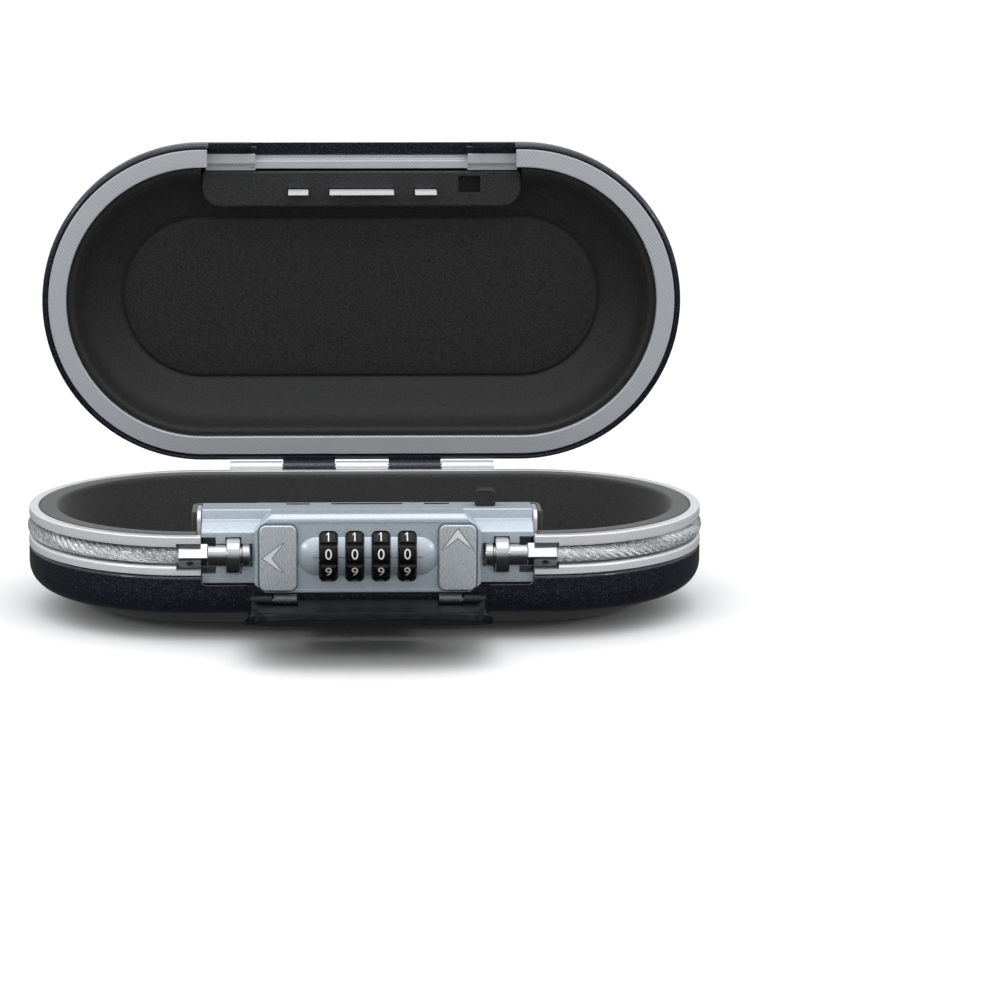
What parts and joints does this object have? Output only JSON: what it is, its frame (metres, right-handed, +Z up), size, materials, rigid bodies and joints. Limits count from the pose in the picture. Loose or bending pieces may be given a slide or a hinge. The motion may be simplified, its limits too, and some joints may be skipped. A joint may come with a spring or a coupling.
{
  "type": "portable combination cash box",
  "caption": "Racetrack-shaped portable cash box with a hinged lid, a front dial lock under a fold-down cover, and a tether cable stored in a groove round the base.",
  "frame": {"origin": "centre of the flat underside of the base", "axes": "+X to the right along the long side as seen from the lock, +Y from the lock to the lid hinge, +Z up; shown with the lid open and the lock cover folded down"},
  "size_m": [0.2412, 0.1863, 0.1599],
  "materials": {
    "shell_paint": "metallic flake under clear coat",
    "channel_silver": "satin",
    "base_felt": "felted foam",
    "lid_foam": "pressed foam",
    "lock_zinc": "brushed casting",
    "button_zinc": "brushed",
    "steel": "bright",
    "dark_steel": "blackened",
    "cam_brass": "plain",
    "dial_plastic": "satin",
    "cover_plastic": "soft touch",
    "strike_plastic": "grained",
    "rim_alloy": "satin",
    "rope_steel": "stranded",
    "jacket_vinyl": "clear",
    "plug_rubber": "matt"
  },
  "bodies": {
    "base": {"base_shell": "shell_paint", "cable_channel": "channel_silver", "base_liner": "base_felt", "lock_body": "lock_zinc", "lock_back_plate": "steel", "lock_plate_screws": "dark_steel", "lock_screws": "dark_steel", "dial_spindle": "steel", "detent_spring": "steel", "cable_anchor": "steel", "cable_rope": "rope_steel", "cable_jacket": "jacket_vinyl", "cable_fitting_left": "steel", "cable_fitting_right": "steel", "set_screws": "dark_steel", "lid_hinge_pin": "steel", "cover_hinge_pins": "steel", "cable_bolt_spring": "steel", "lid_release_spring": "steel"},
    "lid": {"lid_shell": "shell_paint", "lid_rim": "rim_alloy", "lid_liner": "lid_foam", "strike_housing": "strike_plastic", "strike_plate": "steel", "strike_screws": "dark_steel"},
    "cover": {"lock_cover": "cover_plastic"},
    "dial_wheel_1": {"dial_1": "dial_plastic", "dial_cam_1": "cam_brass"},
    "dial_wheel_2": {"dial_2": "dial_plastic", "dial_cam_2": "cam_brass"},
    "dial_wheel_3": {"dial_3": "dial_plastic", "dial_cam_3": "cam_brass"},
    "dial_wheel_4": {"dial_4": "dial_plastic", "dial_cam_4": "cam_brass"},
    "cable_button": {"cable_release_button": "button_zinc"},
    "cable_lever": {"cable_release_lever": "steel"},
    "bolt": {"cable_bolt": "steel"},
    "lid_button": {"lid_release_button": "button_zinc", "lid_release_slide": "steel", "fence_bar": "steel"},
    "latch": {"latch_bar": "steel"},
    "plug": {"port_plug": "plug_rubber"}
  },
  "joints": [
    {"name": "lid_hinge", "type": "hinge", "parent": "base", "child": "lid", "pos_m": [0, 0.0628, 0.0371], "axis": [1, 0, 0], "range_deg": [0, 90]},
    {"name": "cover_hinge", "type": "hinge", "parent": "base", "child": "cover", "pos_m": [0, -0.0623, 0.0152], "axis": [-1, 0, 0], "range_deg": [0, 90]},
    {"name": "dial_1_turn", "type": "hinge", "parent": "base", "child": "dial_wheel_1", "pos_m": [-0.01335, -0.0534, 0.03], "axis": [1, 0, 0], "continuous": true},
    {"name": "dial_2_turn", "type": "hinge", "parent": "base", "child": "dial_wheel_2", "pos_m": [-0.00445, -0.0534, 0.03], "axis": [1, 0, 0], "continuous": true},
    {"name": "dial_3_turn", "type": "hinge", "parent": "base", "child": "dial_wheel_3", "pos_m": [0.00445, -0.0534, 0.03], "axis": [1, 0, 0], "continuous": true},
    {"name": "dial_4_turn", "type": "hinge", "parent": "base", "child": "dial_wheel_4", "pos_m": [0.01335, -0.0534, 0.03], "axis": [1, 0, 0], "continuous": true},
    {"name": "cable_release", "type": "slide", "parent": "base", "child": "cable_button", "axis": [-1, 0, 0], "range_m": [0, 0.0025], "stiffness_N_per_m": 400, "deforming": ["cable_bolt_spring"]},
    {"name": "cable_lever_turn", "type": "hinge", "parent": "base", "child": "cable_lever", "pos_m": [-0.03, -0.053, 0.029], "axis": [0, 1, 0], "range_deg": [0, 20]},
    {"name": "cable_bolt_slide", "type": "slide", "parent": "base", "child": "bolt", "axis": [1, 0, 0], "range_m": [0, 0.0025]},
    {"name": "lid_release", "type": "slide", "parent": "base", "child": "lid_button", "axis": [0, 0, 1], "range_m": [0, 0.003], "stiffness_N_per_m": 400, "deforming": ["lid_release_spring"]},
    {"name": "latch_slide", "type": "slide", "parent": "base", "child": "latch", "axis": [1, 0, 0], "range_m": [0, 0.003]},
    {"name": "plug_pull", "type": "slide", "parent": "base", "child": "plug", "axis": [0, 0, -1], "range_m": [-0.006, 0]}
  ],
  "couplings": [
    {"joint": "cable_lever_turn", "follows": "cable_release", "rad_per_m": 138.89},
    {"joint": "cable_bolt_slide", "follows": "cable_release", "ratio": 1},
    {"joint": "latch_slide", "follows": "lid_release", "ratio": 1}
  ]
}
